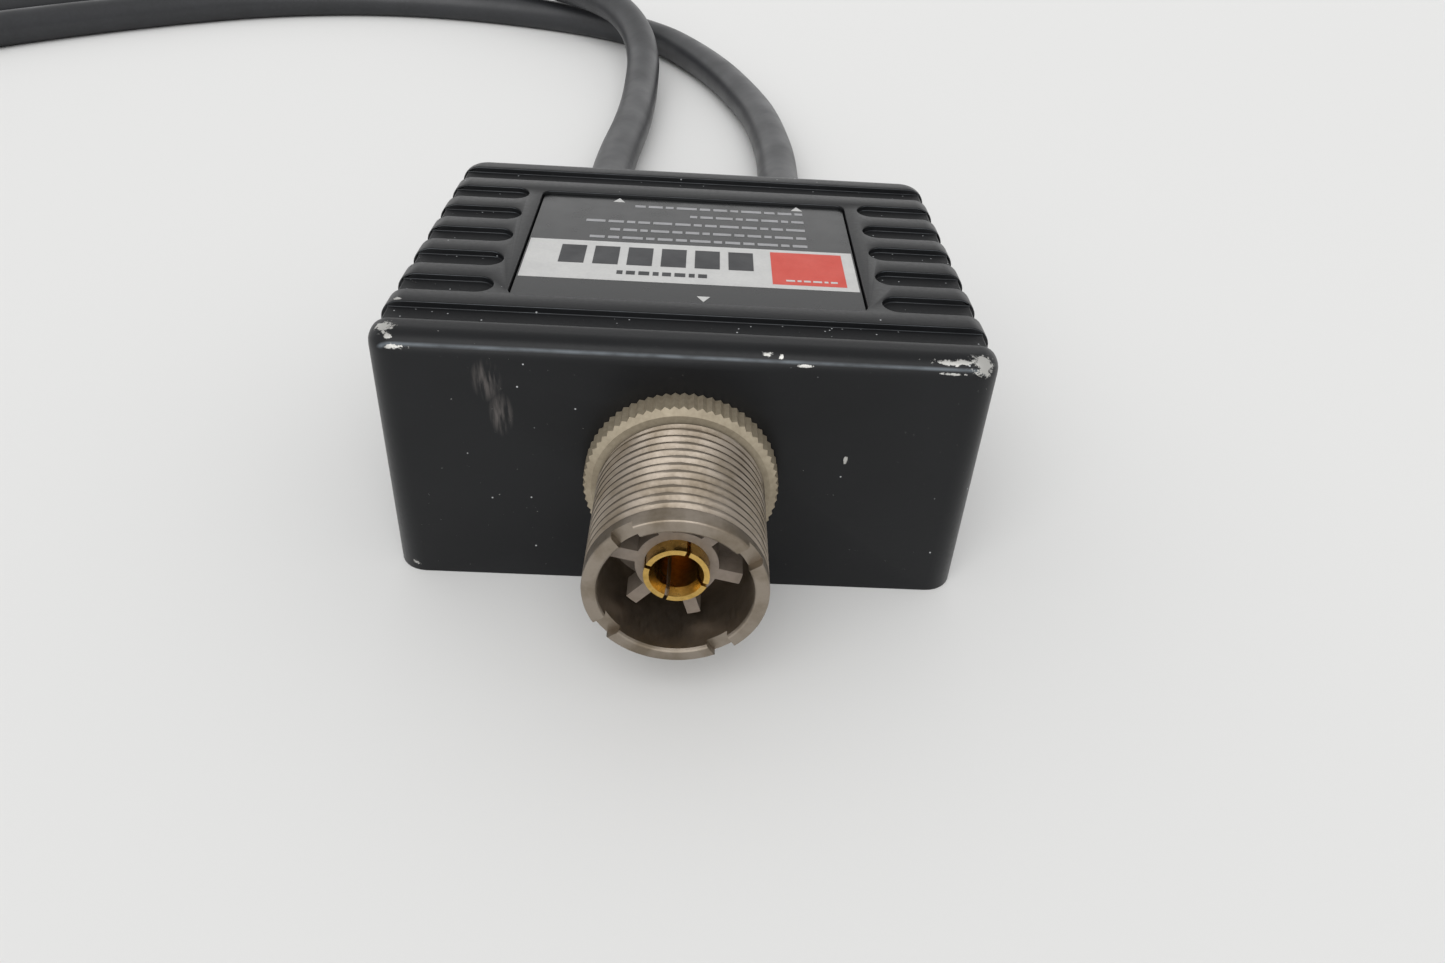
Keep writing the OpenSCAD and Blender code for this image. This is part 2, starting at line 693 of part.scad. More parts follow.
// The coupling ring turns on the plug's neck, behind the flange
module coupling_ring(at) {
    end = coupling_start + coupling_l;
    lip_end = coupling_start + coupling_lip;
    bevel = 0.6;
    color(nickel) along_plug(at) difference() {
        rotate_extrude() polygon([
            [plug_neck_r + coupling_gap, coupling_start], [coupling_r - bevel, coupling_start],
            [coupling_r, coupling_start + bevel], [coupling_r, end - bevel], [coupling_r - bevel, end],
            [coupling_bore_r, end], [coupling_bore_r, lip_end], [plug_neck_r + coupling_gap, lip_end]
        ]);
        for (i = [0:flute_count - 1]) rotate([0, 0, (i + 0.5) * 360 / flute_count])
            translate([coupling_r - flute_t, -flute_t, coupling_start + 1.5])
                cube([2 * flute_t, 2 * flute_t, coupling_l - 5]);
    }
}

housing();
label_plate();
bottom_cover();
cover_screw(-1, -1);  // cover_screw_1
cover_screw(1, -1);  // cover_screw_2
cover_screw(1, 1);  // cover_screw_3
cover_screw(-1, 1);  // cover_screw_4
port_shell();
port_ring();
port_nut();
port_lug();
port_insulator();
port_contact();
feed_strap();
filter_board();
lowpass_coils();
lowpass_capacitors();
highpass_coils();
highpass_capacitors();
cable_entry(-1);  // low_entry
cable_entry(1);  // high_entry
cable_clamp(-1);  // low_clamp
cable_clamp(1);  // high_clamp
grommet(-1);  // low_grommet
grommet(1);  // high_grommet
low_cable();
high_cable();
plug_body(low_plug_at);  // low_plug_body
plug_insulator(low_plug_at);  // low_plug_insulator
plug_pin(low_plug_at);  // low_plug_pin
coupling_ring(low_plug_at);  // low_plug_ring
plug_body(high_plug_at);  // high_plug_body
plug_insulator(high_plug_at);  // high_plug_insulator
plug_pin(high_plug_at);  // high_plug_pin
coupling_ring(high_plug_at);  // high_plug_ring
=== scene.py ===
"""Finishes for the antenna duplexer: stage, cables, housing, label, socket and plugs.

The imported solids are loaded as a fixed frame, in metres. Each operator adds one piece or
one group of like pieces round them, or gives the solids their finish.
"""

import json
import math

import bpy
from bpy.props import FloatProperty, FloatVectorProperty, IntProperty, PointerProperty, StringProperty
from mathutils import Matrix, Vector


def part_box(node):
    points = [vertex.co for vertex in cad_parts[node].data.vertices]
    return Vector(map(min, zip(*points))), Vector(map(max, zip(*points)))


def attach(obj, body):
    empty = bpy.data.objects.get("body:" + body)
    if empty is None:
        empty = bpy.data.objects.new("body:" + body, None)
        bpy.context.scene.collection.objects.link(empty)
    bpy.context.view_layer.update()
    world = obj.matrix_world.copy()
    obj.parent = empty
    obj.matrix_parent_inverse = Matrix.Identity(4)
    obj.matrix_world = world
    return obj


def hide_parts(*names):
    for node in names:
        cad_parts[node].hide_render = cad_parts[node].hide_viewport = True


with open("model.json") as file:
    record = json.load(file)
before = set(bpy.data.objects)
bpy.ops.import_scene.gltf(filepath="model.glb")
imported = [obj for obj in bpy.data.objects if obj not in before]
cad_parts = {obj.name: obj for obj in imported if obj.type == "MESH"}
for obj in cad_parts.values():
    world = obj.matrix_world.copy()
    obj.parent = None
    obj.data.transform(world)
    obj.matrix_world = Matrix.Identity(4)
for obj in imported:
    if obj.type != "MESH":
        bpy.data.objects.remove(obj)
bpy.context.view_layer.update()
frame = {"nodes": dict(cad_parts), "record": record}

bl_info = {
    "name": "Antenna Duplexer",
    "version": (1, 0, 0),
    "blender": (4, 5, 0),
    "location": "View3D > Sidebar > Duplexer",
    "description": "Builds the finishes, cables and labels of an antenna duplexer",
    "category": "Add Mesh",
}

MM = 0.001
BODY = "duplexer"

# The box of each solid that a piece is fitted to
HOUSING_LOW, HOUSING_HIGH = (Vector(corner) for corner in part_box("housing"))
LABEL_LOW, LABEL_HIGH = (Vector(corner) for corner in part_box("label_plate"))
SHELL_LOW, SHELL_HIGH = (Vector(corner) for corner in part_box("port_shell"))

# The routes of the two cables, the same points as in the part's source, in millimetres
HIGH_ROUTE = [
    (14, 31, 13.75), (14, 43, 12.5), (14.5, 56, 9), (15, 69, 5.2), (15, 82, 3.8),
    (15, 96, 3.75), (14, 110, 3.75), (12, 124, 3.75), (8.5, 138, 3.75), (4, 152, 3.75),
    (-2, 166, 3.75), (-9.5, 179, 3.75), (-20.5, 190, 3.75), (-34, 197.5, 3.75),
    (-49, 202.5, 3.75), (-64, 205.5, 3.75), (-79, 206.5, 3.75), (-94, 205, 3.75),
    (-108, 201, 3.75), (-121, 195, 3.75), (-133.5, 186.5, 3.75), (-145, 177, 3.75),
    (-156, 166.5, 3.75), (-166, 155.5, 3.75), (-174.5, 143.5, 3.75),
    (-181.5, 130.5, 3.75), (-186.5, 117, 3.9), (-189, 103, 5.6), (-190, 89, 8.2),
    (-190, 76, 9.1),
]
LOW_ROUTE = [
    (-14, 31, 13.75), (-14, 43, 12.5), (-14.5, 56, 9), (-15, 69, 5.2), (-15.5, 82, 3.8),
    (-15, 96, 3.75), (-14, 110, 3.75), (-13.5, 124, 3.8), (-13.5, 138, 4.7),
    (-14, 152, 6.6), (-16.5, 166, 9), (-22, 179, 11), (-31, 190.5, 11.7),
    (-42.5, 200.5, 11.8), (-55.5, 209, 10.8), (-69, 215, 8.3), (-83.5, 218.5, 5.4),
    (-98.5, 219.5, 3.9), (-113, 217.5, 3.75), (-127, 212.5, 3.75), (-140, 205, 3.75),
    (-152.5, 195.5, 3.75), (-164, 185, 3.75), (-175, 173.5, 3.75), (-185.5, 161.5, 3.75),
    (-195, 149, 3.75), (-203.5, 136, 3.75), (-211, 122.5, 3.9), (-217, 108.5, 5.6),
    (-220.5, 94, 8.2), (-222, 80, 9.1),
]


def linear(hex_colour):
    """The linear RGBA of an sRGB colour written as RRGGBB."""
    channels = [int(hex_colour[i : i + 2], 16) / 255 for i in (0, 2, 4)]
    return tuple(c / 12.92 if c <= 0.04045 else ((c + 0.055) / 1.055) ** 2.4 for c in channels) + (1.0,)


def fill(owner, node, inputs):
    """Links or fills the inputs of a node of a material or the world."""
    for name, value in inputs.items():
        if isinstance(value, bpy.types.NodeSocket):
            owner.node_tree.links.new(value, node.inputs[name])
        else:
            node.inputs[name].default_value = value


def add_node(owner, kind, inputs=None, out=0, **settings):
    """Adds one node with its settings and links, and returns one of its outputs, if it has any."""
    node = owner.node_tree.nodes.new(kind)
    for name, value in settings.items():
        setattr(node, name, value)
    fill(owner, node, inputs or {})
    return node.outputs[out] if node.outputs else None


def new_material(name):
    """A material with only a Principled shader joined to its output, and that shader's node."""
    material = bpy.data.materials.new(name)
    material.use_nodes = True
    material.node_tree.nodes.clear()
    surface = add_node(material, "ShaderNodeBsdfPrincipled", out="BSDF")
    add_node(material, "ShaderNodeOutputMaterial", {"Surface": surface})
    return material, surface.node


def grains(size_mm):
    """The scale of a pattern whose grains are size_mm across, on coordinates in metres."""
    return 1.0 / (size_mm * MM)


# The sockets of a Mix node that blends colours: its factor, its two colours and its result
BLEND, FIRST, SECOND, BLENDED = 0, 6, 7, 2

# Knocked places of the housing's paint: centre and reach along each axis, in millimetres
CHIPS = [
    ((27.0, -21.9, 26.8), (2.3, 1.6, 1.5)),
    ((24.6, -22.0, 27.0), (3.4, 0.5, 0.5)),
    ((24.4, -22.8, 26.2), (2.4, 0.4, 0.2)),
    ((-27.3, -20.9, 27.4), (1.7, 1.3, 0.8)),
    ((-27.3, -15.6, 27.5), (0.7, 0.5, 0.5)),
    ((-26.0, -22.6, 26.3), (1.8, 0.6, 0.35)),
    ((-26.6, -22.1, 27.1), (0.7, 0.5, 0.6)),
    ((7.3, -22.1, 27.0), (0.8, 0.5, 0.5)),
    ((8.6, -22.2, 26.9), (0.4, 0.4, 0.4)),
    ((10.6, -22.7, 26.3), (1.5, 0.5, 0.25)),
    ((-27.9, -22.8, 6.6), (0.6, 0.6, 0.6)),
    ((-27.0, -22.8, 1.0), (0.9, 0.6, 0.6)),
    ((28.1, -22.8, 0.6), (0.8, 0.6, 0.6)),
    ((15.6, -22.8, 16.3), (0.3, 0.4, 0.8)),
]
# Places on the front that are rubbed pale, written in the same way
RUBBED = [((-18.0, -22.8, 23.4), (1.5, 1.0, 2.4)), ((-16.9, -22.8, 19.8), (1.2, 1.0, 2.6))]
# A level face below this height is the floor of one of the roof's grooves
GROOVE_FLOOR_Z = HOUSING_HIGH.z - 0.35 * MM
GROOVE_FLOOR_FADE = 0.05 * MM


def patches(material, point, places):
    """1 at the middle of each place, falling to 0 at its reach along each axis."""
    most = None
    for centre_mm, reach_mm in places:
        scale = [1.0 / (reach * MM) for reach in reach_mm]
        shift = [-c * MM * k for c, k in zip(centre_mm, scale)]
        near = add_node(
            material, "ShaderNodeMapping", {"Vector": point, "Scale": scale, "Location": shift}
        )
        gap = add_node(material, "ShaderNodeVectorMath", {0: near}, "Value", operation="LENGTH")
        patch = add_node(material, "ShaderNodeMapRange", {"Value": gap, "To Min": 1.0, "To Max": 0.0})
        if most is not None:
            patch = add_node(material, "ShaderNodeMath", {0: most, 1: patch}, operation="MAXIMUM")
        most = patch
    return most


def specks(material, point, apart_mm, across_mm):
    """1 on round specks that are scattered about apart_mm apart, 0 between them."""
    cells = add_node(
        material,
        "ShaderNodeTexVoronoi",
        {"Vector": point, "Scale": grains(apart_mm), "Randomness": 1.0},
        "Distance",
    )
    edge = across_mm / apart_mm / 2
    return add_node(
        material,
        "ShaderNodeMapRange",
        {"Value": cells, "From Min": edge * 0.7, "From Max": edge, "To Min": 1.0, "To Max": 0.0},
    )


def groove_floors(material, point, normal):
    """1 on the level faces that lie below the roof's ribs."""
    height = add_node(material, "ShaderNodeSeparateXYZ", {"Vector": point}, "Z")
    upward = add_node(material, "ShaderNodeSeparateXYZ", {"Vector": normal}, "Z")
    low = add_node(
        material,
        "ShaderNodeMapRange",
        {
            "Value": height,
            "From Min": GROOVE_FLOOR_Z - GROOVE_FLOOR_FADE,
            "From Max": GROOVE_FLOOR_Z,
            "To Min": 1.0,
            "To Max": 0.0,
        },
    )
    level = add_node(material, "ShaderNodeMapRange", {"Value": upward, "From Min": 0.97, "From Max": 0.99})
    return add_node(material, "ShaderNodeMath", {0: low, 1: level}, operation="MULTIPLY")


def painted_edge_highlight(material, point, normal):
    """1 along the line where the roof's rounded front edge turns to face the front, in broken lengths: the
    place of a painted bluish highlight that stands in for the front window's reflection.
    """
    across = add_node(material, "ShaderNodeSeparateXYZ", {"Vector": normal}, "Y")
    upward = add_node(material, "ShaderNodeSeparateXYZ", {"Vector": normal}, "Z")
    tilt = add_node(material, "ShaderNodeMath", {0: across, 1: -1.0}, operation="MULTIPLY")
    begins = add_node(material, "ShaderNodeMapRange", {"Value": tilt, "From Min": 0.78, "From Max": 0.84})
    ends = add_node(
        material,
        "ShaderNodeMapRange",
        {"Value": tilt, "From Min": 0.86, "From Max": 0.91, "To Min": 1.0, "To Max": 0.0},
    )
    line = add_node(material, "ShaderNodeMath", {0: begins, 1: ends}, operation="MULTIPLY")
    on_top = add_node(material, "ShaderNodeMapRange", {"Value": upward, "From Min": 0.2, "From Max": 0.35})
    line = add_node(material, "ShaderNodeMath", {0: line, 1: on_top}, operation="MULTIPLY")
    along = add_node(material, "ShaderNodeMapping", {"Vector": point, "Scale": (0.4, 1.0, 1.0)})
    noise = add_node(
        material,
        "ShaderNodeTexNoise",
        {"Vector": along, "Scale": grains(1.6), "Detail": 4.0, "Roughness": 0.55},
    )
    broken = add_node(
        material,
        "ShaderNodeMapRange",
        {"Value": noise, "From Min": 0.35, "From Max": 0.6, "To Min": 0.35, "To Max": 1.0},
    )
    return add_node(material, "ShaderNodeMath", {0: line, 1: broken}, operation="MULTIPLY")


def bare_metal(material, point):
    """1 on the ragged chips where the paint is knocked off."""
    ragged = add_node(
        material,
        "ShaderNodeTexNoise",
        {"Vector": point, "Scale": grains(0.5), "Detail": 6.0, "Roughness": 0.8},
    )
    ragged = add_node(material, "ShaderNodeMath", {0: ragged, 1: 2.4}, operation="MULTIPLY")
    chips = add_node(
        material, "ShaderNodeMath", {0: patches(material, point, CHIPS), 1: ragged}, operation="ADD"
    )
    return add_node(material, "ShaderNodeMapRange", {"Value": chips, "From Min": 1.66, "From Max": 1.72})


def rubbed_streaks(material, point):
    """Up to 0.45 on upright streaks where the front is rubbed pale."""
    upright = add_node(material, "ShaderNodeMapping", {"Vector": point, "Scale": (1.0, 1.0, 0.12)})
    noise = add_node(
        material,
        "ShaderNodeTexNoise",
        {"Vector": upright, "Scale": grains(0.5), "Detail": 4.0, "Roughness": 0.55},
    )
    streaks = add_node(material, "ShaderNodeMapRange", {"Value": noise, "From Min": 0.42, "From Max": 0.62})
    rubbed = add_node(
        material, "ShaderNodeMath", {0: patches(material, point, RUBBED), 1: streaks}, operation="MULTIPLY"
    )
    return add_node(material, "ShaderNodeMath", {0: rubbed, 1: 0.45}, operation="MULTIPLY")


# Satin black baked enamel, sprayed on die-cast aluminium. It gives the eye a black that greys
# towards the far edge, ragged bright chips at the knocked corners, a painted bluish highlight
# along the front edge, pale rubbed streaks, dust specks, and darker, matte groove floors.
def worn_enamel():
    material, shader = new_material("satin_black_enamel_on_die_cast_aluminium")
    point = add_node(material, "ShaderNodeTexCoord", out="Object")
    normal = add_node(material, "ShaderNodeTexCoord", out="Normal")
    peel = add_node(
        material,
        "ShaderNodeTexNoise",
        {"Vector": point, "Scale": grains(0.5), "Detail": 2.0, "Roughness": 0.55},
    )
    cloud = add_node(
        material,
        "ShaderNodeTexNoise",
        {"Vector": point, "Scale": grains(14.0), "Detail": 3.0, "Roughness": 0.55},
    )
    bare = bare_metal(material, point)
    floors = groove_floors(material, point, normal)
    settled = add_node(
        material, "ShaderNodeMath", {0: specks(material, point, 1.0, 0.16), 1: floors}, operation="MULTIPLY"
    )
    dust = add_node(
        material, "ShaderNodeMath", {0: settled, 1: specks(material, point, 2.2, 0.2)}, operation="MAXIMUM"
    )
    # A painted highlight: the front window's bluish reflection along the rounded front edge, put into the
    # colour
    edge = add_node(
        material, "ShaderNodeMath", {0: painted_edge_highlight(material, point, normal), 1: 0.55}, operation="MULTIPLY"
    )

    shades = add_node(material, "ShaderNodeMapRange", {"Value": cloud, "From Min": 0.3, "From Max": 0.7})
    colour = add_node(
        material,
        "ShaderNodeMix",
        {BLEND: shades, FIRST: linear("0d0e10"), SECOND: linear("131416")},
        BLENDED,
        data_type="RGBA",
    )
    layers = (
        (rubbed_streaks(material, point), "8f8884"),
        # The colour of the painted highlight along the front edge
        (edge, "7b838a"),
        (dust, "b4b6b8"),
        (bare, "bdbcb8"),
    )
    for share, shade in layers:
        colour = add_node(
            material,
            "ShaderNodeMix",
            {BLEND: share, FIRST: colour, SECOND: linear(shade)},
            BLENDED,
            data_type="RGBA",
        )

    sheen = add_node(material, "ShaderNodeMath", {0: cloud, 1: peel}, operation="ADD")
    satin = add_node(
        material,
        "ShaderNodeMapRange",
        {"Value": sheen, "From Min": 0.6, "From Max": 1.4, "To Min": 0.3, "To Max": 0.42},
    )
    matte = add_node(material, "ShaderNodeMath", {0: floors, 1: 0.22}, operation="MULTIPLY")
    fill(
        material,
        shader,
        {
            "Base Color": colour,
            "Metallic": add_node(material, "ShaderNodeMath", {0: bare, 1: 0.8}, operation="MULTIPLY"),
            "Roughness": add_node(material, "ShaderNodeMath", {0: satin, 1: matte}, operation="ADD"),
            "Specular IOR Level": 0.27,
            "Normal": add_node(
                material, "ShaderNodeBump", {"Height": peel, "Distance": 0.012 * MM, "Strength": 0.6}
            ),
        },
    )
    return material


# Dull nickel plate on turned brass. It gives the eye a warm grey that is browned in patches,
# with fine rubbed lines along the barrel.
def worn_nickel():
    material, shader = new_material("worn_nickel_plate")
    point = add_node(material, "ShaderNodeTexCoord", out="Object")
    patch = add_node(
        material,
        "ShaderNodeTexNoise",
        {"Vector": point, "Scale": grains(3.0), "Detail": 4.0, "Roughness": 0.55},
    )
    along = add_node(material, "ShaderNodeMapping", {"Vector": point, "Scale": (1.0, 0.25, 1.0)})
    lines = add_node(
        material,
        "ShaderNodeTexNoise",
        {"Vector": along, "Scale": grains(0.25), "Detail": 3.0, "Roughness": 0.55},
    )
    brown = add_node(material, "ShaderNodeMapRange", {"Value": patch, "From Min": 0.42, "From Max": 0.68})
    wear = add_node(material, "ShaderNodeMath", {0: patch, 1: lines}, operation="ADD")
    fill(
        material,
        shader,
        {
            "Base Color": add_node(
                material,
                "ShaderNodeMix",
                {BLEND: brown, FIRST: linear("988e82"), SECOND: linear("7e7364")},
                BLENDED,
                data_type="RGBA",
            ),
            "Metallic": 1.0,
            "Roughness": add_node(
                material,
                "ShaderNodeMapRange",
                {"Value": wear, "From Min": 0.7, "From Max": 1.3, "To Min": 0.36, "To Max": 0.52},
            ),
            "Normal": add_node(
                material, "ShaderNodeBump", {"Height": lines, "Distance": 0.01 * MM, "Strength": 0.5}
            ),
        },
    )
    return material


# The even finishes: the material's name, its two near colours, its roughness, how metallic it is,
# its grain in millimetres and the depth of that grain in millimetres
EVEN_FINISHES = {
    # Polyester film, printed dark: smooth, so the pale room greys it towards the far edge
    "label": ("printed_polyester_label", "1d1e1f", "1a1b1c", 0.23, 0.0, 0.3, 0.004),
    # Screen inks: flat colours with a faint sheen
    "silver_ink": ("silver_screen_ink", "c4c4c2", "b9b9b8", 0.4, 0.0, 0.3, 0.004),
    "grey_ink": ("grey_screen_ink", "97979a", "8c8c8e", 0.4, 0.0, 0.3, 0.004),
    "red_ink": ("red_screen_ink", "ca3f2c", "c23826", 0.42, 0.0, 0.3, 0.004),
    "black_ink": ("black_screen_ink", "2a2b2e", "232427", 0.45, 0.0, 0.3, 0.004),
    # Nickel plate, dulled by hands in its knurling: half of it tarnish, so it hardly mirrors
    "knurled": ("knurled_dull_nickel_plate", "a89d89", "8f8471", 0.55, 0.5, 0.5, 0.004),
    # Gold plate, burnished by the pins that slide in it: a warm, sharp shine
    "gold": ("gold_plate_on_spring_bronze", "d9b469", "b3924f", 0.26, 1.0, 0.4, 0.004),
    # Moulded polyester: grey-brown, with a soft shine
    "insulator": ("moulded_grey_polyester", "8b8075", "786d63", 0.5, 0.0, 0.5, 0.004),
    # Extruded PVC: black, with a long satin light along each cable
    "jacket": ("extruded_black_pvc_jacket", "2b2c2f", "232426", 0.4, 0.0, 0.8, 0.01),
    # Moulded rubber: black and quite matte
    "rubber": ("moulded_black_rubber", "202021", "191919", 0.62, 0.0, 0.4, 0.01),
    # Zinc-plated sheet and screws: cool grey metal
    "zinc": ("zinc_plated_sheet", "a4a5a6", "939495", 0.36, 1.0, 1.2, 0.004),
    # New nickel plate: pale and bright
    "plug_nickel": ("bright_nickel_plate", "c9c5bf", "b5b0a9", 0.26, 1.0, 0.9, 0.004),
    # Moulded phenolic: cream, with a soft shine
    "plug_plastic": ("moulded_cream_phenolic", "d8cdb8", "c9bda6", 0.45, 0.0, 0.6, 0.004),
    # Bare copper: orange metal, slightly dulled
    "copper": ("bare_copper_wire", "c07a4e", "a8663f", 0.3, 1.0, 0.5, 0.004),
    # Glass-fibre board: dull green
    "board": ("glass_fibre_board", "4a6b4e", "3f5f45", 0.5, 0.0, 0.6, 0.004),
    # Glazed ceramic: tan, with a glassy shine
    "ceramic": ("glazed_ceramic", "c58a4a", "b67b3d", 0.3, 0.0, 1.0, 0.004),
}
# How many of its grains wide the slow patches of an even finish are
PATCH_GRAINS = 9


def even_finish(name, colour, shade, roughness, metallic, grain_mm, bump_mm):
    """Two near colours and a fine bump in grains of grain_mm, under slow patches of colour and shine."""
    material, shader = new_material(name)
    point = add_node(material, "ShaderNodeTexCoord", out="Object")
    grain = add_node(
        material,
        "ShaderNodeTexNoise",
        {"Vector": point, "Scale": grains(grain_mm), "Detail": 4.0, "Roughness": 0.55},
    )
    patch = add_node(
        material,
        "ShaderNodeTexNoise",
        {"Vector": point, "Scale": grains(grain_mm * PATCH_GRAINS), "Detail": 3.0, "Roughness": 0.55},
    )
    both = add_node(material, "ShaderNodeMath", {0: grain, 1: patch}, operation="ADD")
    share = add_node(material, "ShaderNodeMapRange", {"Value": both, "From Min": 0.7, "From Max": 1.3})
    fill(
        material,
        shader,
        {
            "Base Color": add_node(
                material,
                "ShaderNodeMix",
                {BLEND: share, FIRST: linear(colour), SECOND: linear(shade)},
                BLENDED,
                data_type="RGBA",
            ),
            "Metallic": metallic,
            "Roughness": add_node(
                material,
                "ShaderNodeMapRange",
                {
                    "Value": patch,
                    "From Min": 0.3,
                    "From Max": 0.7,
                    "To Min": roughness - 0.05,
                    "To Max": roughness + 0.06,
                },
            ),
            "Normal": add_node(
                material, "ShaderNodeBump", {"Height": grain, "Distance": bump_mm * MM, "Strength": 0.5}
            ),
        },
    )
    return material


FINISHES = {}


def finish(name):
    """The shared material of that name, made when it is first asked for."""
    if name not in FINISHES:
        if name == "enamel":
            FINISHES[name] = worn_enamel()
        elif name == "nickel":
            FINISHES[name] = worn_nickel()
        else:
            FINISHES[name] = even_finish(*EVEN_FINISHES[name])
    return FINISHES[name]


def give_finish(piece, name):
    """One material all over a piece or a solid."""
    piece.data.materials.clear()
    piece.data.materials.append(finish(name))


def seat(piece, body):
    """Rides the piece on its body."""
    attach(piece, body)


def deselect():
    """Leaves object mode with nothing selected."""
    if bpy.context.object and bpy.context.object.mode != "OBJECT":
        bpy.ops.object.mode_set(mode="OBJECT")
    bpy.ops.object.select_all(action="DESELECT")


def pick(piece):
    """Makes one object the only selected one, and active."""
    deselect()
    piece.select_set(True)
    bpy.context.view_layer.objects.active = piece


def settle(piece):
    """Moves the object's place, turn and size into its mesh."""
    pick(piece)
    bpy.ops.object.transform_apply(location=True, rotation=True, scale=True)


def apply_modifier(piece, kind, **settings):
    """Adds one modifier with its settings and applies it."""
    pick(piece)
    modifier = piece.modifiers.new(kind.title(), kind)
    for name, value in settings.items():
        setattr(modifier, name, value)
    bpy.ops.object.modifier_apply(modifier=modifier.name)


# Points closer than this are one, and faces that meet at less than this angle are one flat face
WELD_GAP = 0.00001
FLAT_ANGLE = math.radians(0.5)


def smooth(piece, degrees):
    """Smooth shading with sharp edges past an angle."""
    pick(piece)
    bpy.ops.object.shade_smooth_by_angle(angle=math.radians(degrees))


def merged_copy(node, name):
    """A copy of a solid's mesh with its loose triangles joined and flat faces made whole."""
    copy = frame["nodes"][node].copy()
    copy.data = copy.data.copy()
    copy.name = name
    copy.parent = None
    for key in [k for k in copy.keys() if k.startswith("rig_")]:
        del copy[key]
    bpy.context.scene.collection.objects.link(copy)
    pick(copy)
    bpy.ops.object.mode_set(mode="EDIT")
    bpy.ops.mesh.select_all(action="SELECT")
    bpy.ops.mesh.remove_doubles(threshold=WELD_GAP)
    bpy.ops.mesh.dissolve_limited(angle_limit=FLAT_ANGLE)
    bpy.ops.object.mode_set(mode="OBJECT")
    return copy


class StageSettings(bpy.types.PropertyGroup):
    """The floor, the light and the camera."""

    floor_colour: StringProperty(name="Floor colour", description="sRGB hex of the floor", default="e1e1e0")
    floor_size: FloatProperty(
        name="Floor size", description="Side of the floor", default=6.0, unit="LENGTH", subtype="DISTANCE"
    )
    camera_place: FloatVectorProperty(
        name="Camera place",
        description="Where the camera stands",
        default=(0.00053, -0.10438, 0.07339),
        unit="LENGTH",
    )
    camera_yaw: FloatProperty(
        name="Yaw", description="Turn about Z", default=math.radians(-2.443), unit="ROTATION"
    )
    camera_pitch: FloatProperty(
        name="Pitch", description="Tilt down", default=math.radians(-36.43), unit="ROTATION"
    )
    camera_roll: FloatProperty(
        name="Roll", description="Turn of the view", default=math.radians(3.91), unit="ROTATION"
    )
    camera_lens: FloatProperty(name="Lens", description="Focal length in millimetres", default=26.01)
    lamp_place: FloatVectorProperty(
        name="Lamp place", description="Where the soft window lies", default=(-0.15, -0.9, 0.8), unit="LENGTH"
    )
    lamp_strength: FloatProperty(
        name="Lamp strength", description="Light of the soft window in front", default=1.75
    )
    lamp_spread: FloatProperty(
        name="Lamp spread", description="How wide the window looks", default=math.radians(65), unit="ROTATION"
    )
    world_light: FloatProperty(
        name="World light", description="Strength of the light all round", default=0.66
    )
    wall_light: FloatProperty(
        name="Wall light", description="What the pale wall behind adds", default=0.46
    )


class CableSettings(bpy.types.PropertyGroup):
    """The two pigtails."""

    diameter: FloatProperty(
        name="Diameter",
        description="Outside of the jacket",
        default=0.0075,
        unit="LENGTH",
        subtype="DISTANCE",
    )
    sides: IntProperty(name="Sides", description="Steps in a quarter of the jacket's round", default=8)


class HousingSettings(bpy.types.PropertyGroup):
    """The die-cast box."""

    edge_round: FloatProperty(
        name="Edge round",
        description="Round of the cast edges",
        default=0.00018,
        unit="LENGTH",
        subtype="DISTANCE",
    )


class LabelSettings(bpy.types.PropertyGroup):
    """The printed plate."""

    ink_t: FloatProperty(
        name="Ink", description="Thickness of the print", default=0.00003, unit="LENGTH", subtype="DISTANCE"
    )
    film_lap: FloatProperty(
        name="Film lap",
        description="How far the printed film laps over each side of its plate",
        default=0.0001,
        unit="LENGTH",
        subtype="DISTANCE",
    )


class SocketSettings(bpy.types.PropertyGroup):
    """The threaded socket."""

    pitch: FloatProperty(
        name="Pitch",
        description="Distance between threads",
        default=0.001058,
        unit="LENGTH",
        subtype="DISTANCE",
    )
    thread_depth: FloatProperty(
        name="Thread depth",
        description="Depth of the thread",
        default=0.00038,
        unit="LENGTH",
        subtype="DISTANCE",
    )
    steps: IntProperty(name="Steps", description="Steps round the barrel", default=144)


def lay_floor(settings):
    """A matt white sheet under the object."""
    deselect()
    bpy.ops.mesh.primitive_plane_add(size=settings.floor_size)
    floor = bpy.context.object
    floor.name = "floor"
    # Matt paper: an even pale ground that only takes soft shadows
    material, shader = new_material("matt_white_paper")
    fill(material, shader, {"Base Color": linear(settings.floor_colour), "Roughness": 0.9})
    floor.data.materials.append(material)


def hang_window(settings):
    """A wide soft light in front, which lights the floor evenly as far as it reaches."""
    data = bpy.data.lights.new("window_in_front", "SUN")
    data.angle = settings.lamp_spread
    data.energy = settings.lamp_strength
    lamp = bpy.data.objects.new("window_in_front", data)
    place = Vector(settings.lamp_place)
    middle_of_box = Vector((0.0, 0.0, 0.02))
    lamp.location = place
    lamp.rotation_euler = (middle_of_box - place).to_track_quat("-Z", "Y").to_euler()
    bpy.context.scene.collection.objects.link(lamp)


